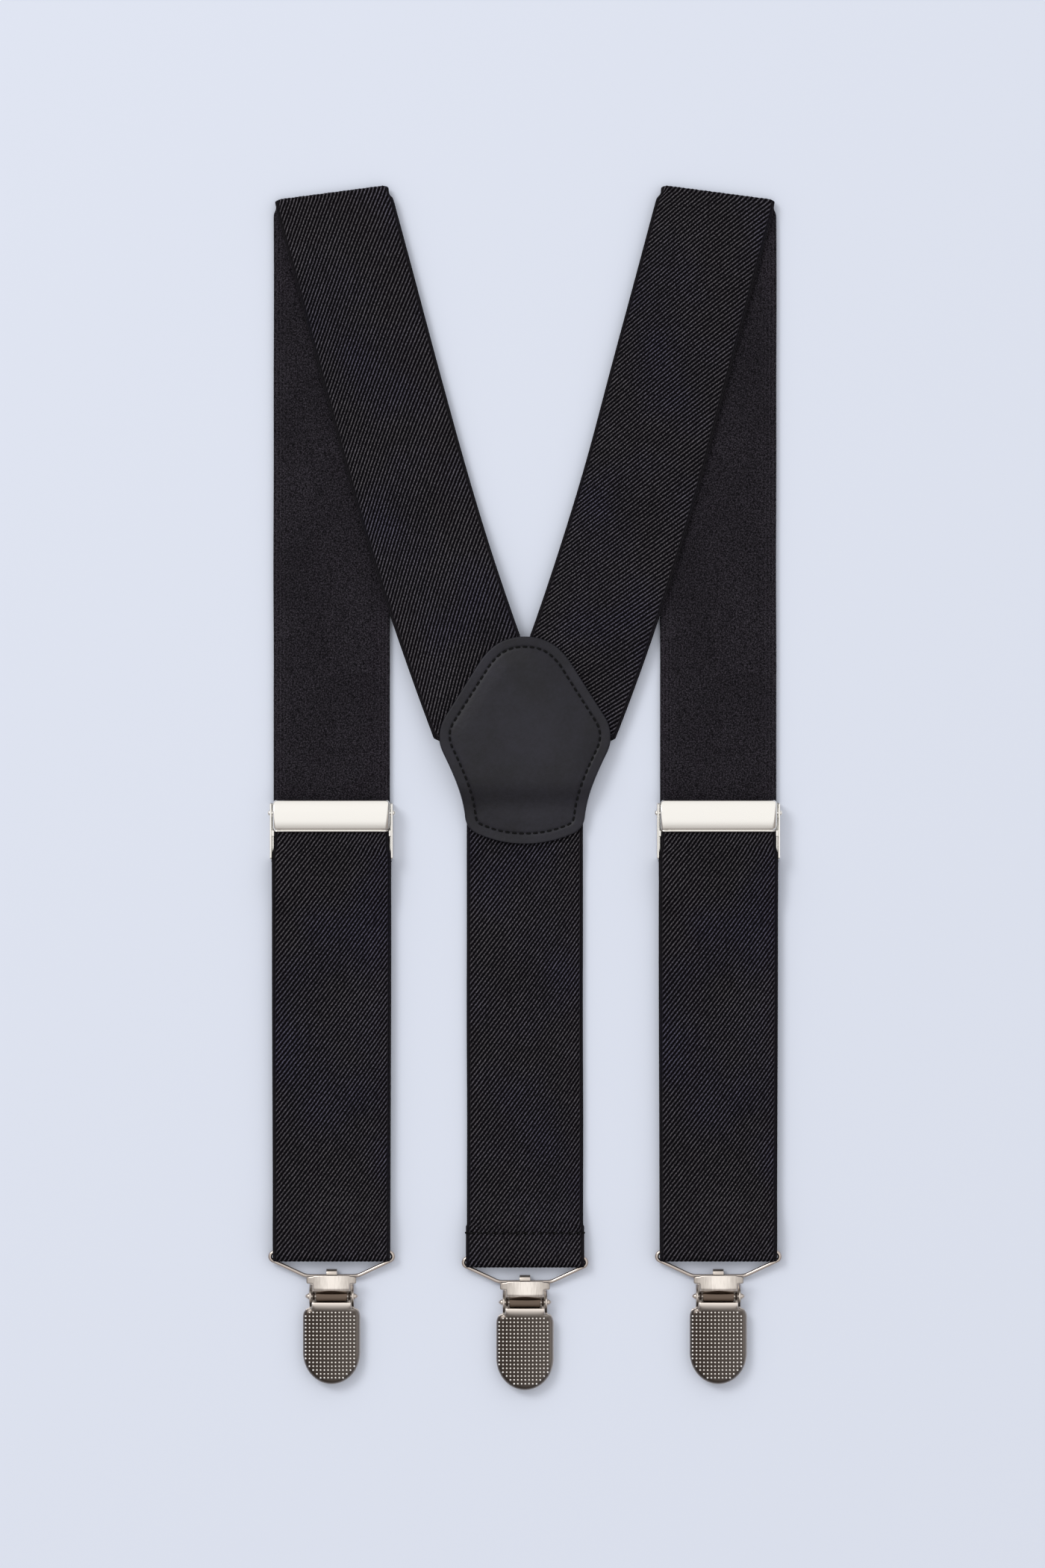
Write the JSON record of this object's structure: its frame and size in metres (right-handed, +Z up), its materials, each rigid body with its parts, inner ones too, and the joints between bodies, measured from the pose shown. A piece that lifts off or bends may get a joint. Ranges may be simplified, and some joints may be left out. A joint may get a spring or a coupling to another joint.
{
  "type": "suspenders",
  "caption": "Y-back clip-on suspenders of wide elastic webbing with a stitched leather back patch, flip-cover slide adjusters, wire hoops and lever clips, laid flat.",
  "frame": {"origin": "on the surface, below the middle of the laid-out outline", "axes": "+X to the right and +Y towards the shoulder folds as seen from above, +Z up off the surface"},
  "size_m": [0.1548, 0.3628, 0.0082],
  "materials": {
    "elastic_webbing": "black elastic webbing, twill face with fine diagonal ridges, plain knitted reverse, narrow plain selvedges",
    "patch_leather": "matte dark grey leather with a fine even grain",
    "sewing_thread": "black waxed sewing thread",
    "bright_nickel": "polished nickel plate",
    "satin_nickel": "satin nickel plate",
    "dark_nickel": "dark nickel plate with rows of small raised dots polished bright",
    "grip_plastic": "soft black moulded plastic"
  },
  "bodies": {
    "root": {"patch_front": "patch_leather", "patch_back": "patch_leather", "patch_stitching": "sewing_thread", "back_strap": "elastic_webbing", "back_hem_stitching": "sewing_thread", "left_shoulder_strap": "elastic_webbing", "right_shoulder_strap": "elastic_webbing", "left_lower_strap": "elastic_webbing", "right_lower_strap": "elastic_webbing"},
    "left_loop": {"left_hoop_loop": "elastic_webbing"},
    "left_adjuster": {"left_adjuster_frame": "bright_nickel", "left_adjuster_outer_rivet": "bright_nickel", "left_adjuster_inner_rivet": "bright_nickel", "left_adjuster_stitching": "sewing_thread", "left_front_strap": "elastic_webbing"},
    "left_cover": {"left_adjuster_cover": "bright_nickel"},
    "right_loop": {"right_hoop_loop": "elastic_webbing"},
    "right_adjuster": {"right_adjuster_frame": "bright_nickel", "right_adjuster_outer_rivet": "bright_nickel", "right_adjuster_inner_rivet": "bright_nickel", "right_adjuster_stitching": "sewing_thread", "right_front_strap": "elastic_webbing"},
    "right_cover": {"right_adjuster_cover": "bright_nickel"},
    "left_wire": {"left_hoop": "bright_nickel"},
    "left_clip": {"left_clip_back_plate": "satin_nickel", "left_clip_pin": "satin_nickel", "left_clip_back_grip": "grip_plastic"},
    "left_lever": {"left_clip_lever": "satin_nickel"},
    "left_jaw": {"left_clip_front_jaw": "dark_nickel", "left_clip_front_grip": "grip_plastic"},
    "right_wire": {"right_hoop": "bright_nickel"},
    "right_clip": {"right_clip_back_plate": "satin_nickel", "right_clip_pin": "satin_nickel", "right_clip_back_grip": "grip_plastic"},
    "right_lever": {"right_clip_lever": "satin_nickel"},
    "right_jaw": {"right_clip_front_jaw": "dark_nickel", "right_clip_front_grip": "grip_plastic"},
    "back_wire": {"back_hoop": "bright_nickel"},
    "back_clip": {"back_clip_back_plate": "satin_nickel", "back_clip_pin": "satin_nickel", "back_clip_back_grip": "grip_plastic"},
    "back_lever": {"back_clip_lever": "satin_nickel"},
    "back_jaw": {"back_clip_front_jaw": "dark_nickel", "back_clip_front_grip": "grip_plastic"}
  },
  "joints": [
    {"name": "left_strap_length", "type": "slide", "parent": "root", "child": "left_loop", "axis": [0, 1, 0], "range_m": [-0.04, 0.02], "deforming": ["left_lower_strap"]},
    {"name": "left_adjuster_slide", "type": "slide", "parent": "left_loop", "child": "left_adjuster", "axis": [0, 1, 0], "range_m": [-0.04, 0.02], "deforming": ["left_front_strap"]},
    {"name": "left_cover_flip", "type": "hinge", "parent": "left_adjuster", "child": "left_cover", "pos_m": [-0.0582, -0.0078, 0.0052], "axis": [-1, 0, 0], "range_deg": [0, 55]},
    {"name": "right_strap_length", "type": "slide", "parent": "root", "child": "right_loop", "axis": [0, 1, 0], "range_m": [-0.04, 0.02], "deforming": ["right_lower_strap"]},
    {"name": "right_adjuster_slide", "type": "slide", "parent": "right_loop", "child": "right_adjuster", "axis": [0, 1, 0], "range_m": [-0.04, 0.02], "deforming": ["right_front_strap"]},
    {"name": "right_cover_flip", "type": "hinge", "parent": "right_adjuster", "child": "right_cover", "pos_m": [0.0582, -0.0078, 0.0052], "axis": [-1, 0, 0], "range_deg": [0, 55]},
    {"name": "left_hoop_swing", "type": "hinge", "parent": "left_loop", "child": "left_wire", "pos_m": [-0.0582, -0.14095, 0.00275], "axis": [-1, 0, 0], "range_deg": [-60, 75]},
    {"name": "left_clip_swing", "type": "hinge", "parent": "left_wire", "child": "left_clip", "pos_m": [-0.0582, -0.14725, 0.0015], "axis": [-1, 0, 0], "range_deg": [-60, 45]},
    {"name": "left_lever_flip", "type": "hinge", "parent": "left_clip", "child": "left_lever", "pos_m": [-0.0582, -0.1532, 0.0033], "axis": [1, 0, 0], "range_deg": [0, 70]},
    {"name": "left_jaw_open", "type": "hinge", "parent": "left_clip", "child": "left_jaw", "pos_m": [-0.0582, -0.1532, 0.0033], "axis": [-1, 0, 0], "range_deg": [0, 14]},
    {"name": "right_hoop_swing", "type": "hinge", "parent": "right_loop", "child": "right_wire", "pos_m": [0.0582, -0.14095, 0.00275], "axis": [-1, 0, 0], "range_deg": [-60, 75]},
    {"name": "right_clip_swing", "type": "hinge", "parent": "right_wire", "child": "right_clip", "pos_m": [0.0582, -0.14725, 0.0015], "axis": [-1, 0, 0], "range_deg": [-60, 45]},
    {"name": "right_lever_flip", "type": "hinge", "parent": "right_clip", "child": "right_lever", "pos_m": [0.0582, -0.1532, 0.0033], "axis": [1, 0, 0], "range_deg": [0, 70]},
    {"name": "right_jaw_open", "type": "hinge", "parent": "right_clip", "child": "right_jaw", "pos_m": [0.0582, -0.1532, 0.0033], "axis": [-1, 0, 0], "range_deg": [0, 14]},
    {"name": "back_hoop_swing", "type": "hinge", "parent": "root", "child": "back_wire", "pos_m": [0, -0.14275, 0.00275], "axis": [-1, 0, 0], "range_deg": [-60, 75]},
    {"name": "back_clip_swing", "type": "hinge", "parent": "back_wire", "child": "back_clip", "pos_m": [0, -0.14905, 0.0015], "axis": [-1, 0, 0], "range_deg": [-60, 45]},
    {"name": "back_lever_flip", "type": "hinge", "parent": "back_clip", "child": "back_lever", "pos_m": [0, -0.155, 0.0033], "axis": [1, 0, 0], "range_deg": [0, 70]},
    {"name": "back_jaw_open", "type": "hinge", "parent": "back_clip", "child": "back_jaw", "pos_m": [0, -0.155, 0.0033], "axis": [-1, 0, 0], "range_deg": [0, 14]}
  ],
  "couplings": [
    {"joint": "left_adjuster_slide", "follows": "left_strap_length", "ratio": 1},
    {"joint": "right_adjuster_slide", "follows": "right_strap_length", "ratio": 1},
    {"joint": "left_jaw_open", "follows": "left_lever_flip", "ratio": 0.2},
    {"joint": "right_jaw_open", "follows": "right_lever_flip", "ratio": 0.2},
    {"joint": "back_jaw_open", "follows": "back_lever_flip", "ratio": 0.2}
  ]
}
